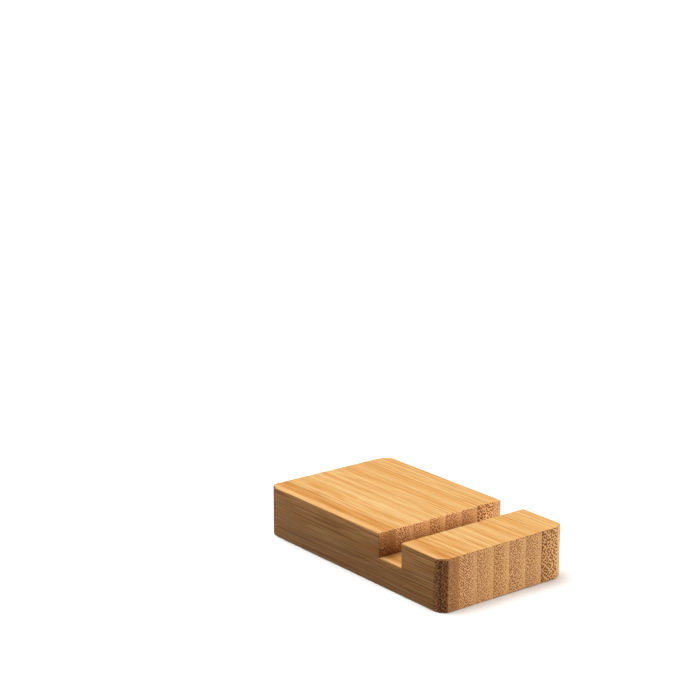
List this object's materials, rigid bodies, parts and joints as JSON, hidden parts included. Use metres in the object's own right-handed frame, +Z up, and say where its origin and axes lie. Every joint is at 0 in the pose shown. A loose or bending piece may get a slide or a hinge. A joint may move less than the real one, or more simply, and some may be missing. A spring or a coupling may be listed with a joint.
{
  "type": "tablet stand",
  "caption": "Low slotted block of edge-laminated bamboo that holds a tablet leaning back, with a straight slot across its top and bevelled corners.",
  "frame": {"origin": "middle of the underside, on the surface that the stand rests on", "axes": "+Z up; the front face looks along -Y, so +Y runs from front to back along the bamboo's grain; +X to the right seen from the front, along the slot"},
  "size_m": [0.057, 0.1, 0.0193],
  "materials": {
    "bamboo_light": "sanded, thin clear satin oil",
    "bamboo_golden": "sanded, thin clear satin oil",
    "bamboo_coarse": "sanded, thin clear satin oil, coarse fibre bundles"
  },
  "bodies": {
    "root": {"bamboo_strip_1": "bamboo_light", "bamboo_strip_2": "bamboo_golden", "bamboo_strip_3": "bamboo_light", "bamboo_strip_4": "bamboo_light", "bamboo_strip_5": "bamboo_light", "bamboo_strip_6": "bamboo_light", "bamboo_strip_7": "bamboo_light", "bamboo_strip_8": "bamboo_coarse", "bamboo_strip_9": "bamboo_light"}
  },
  "joints": []
}
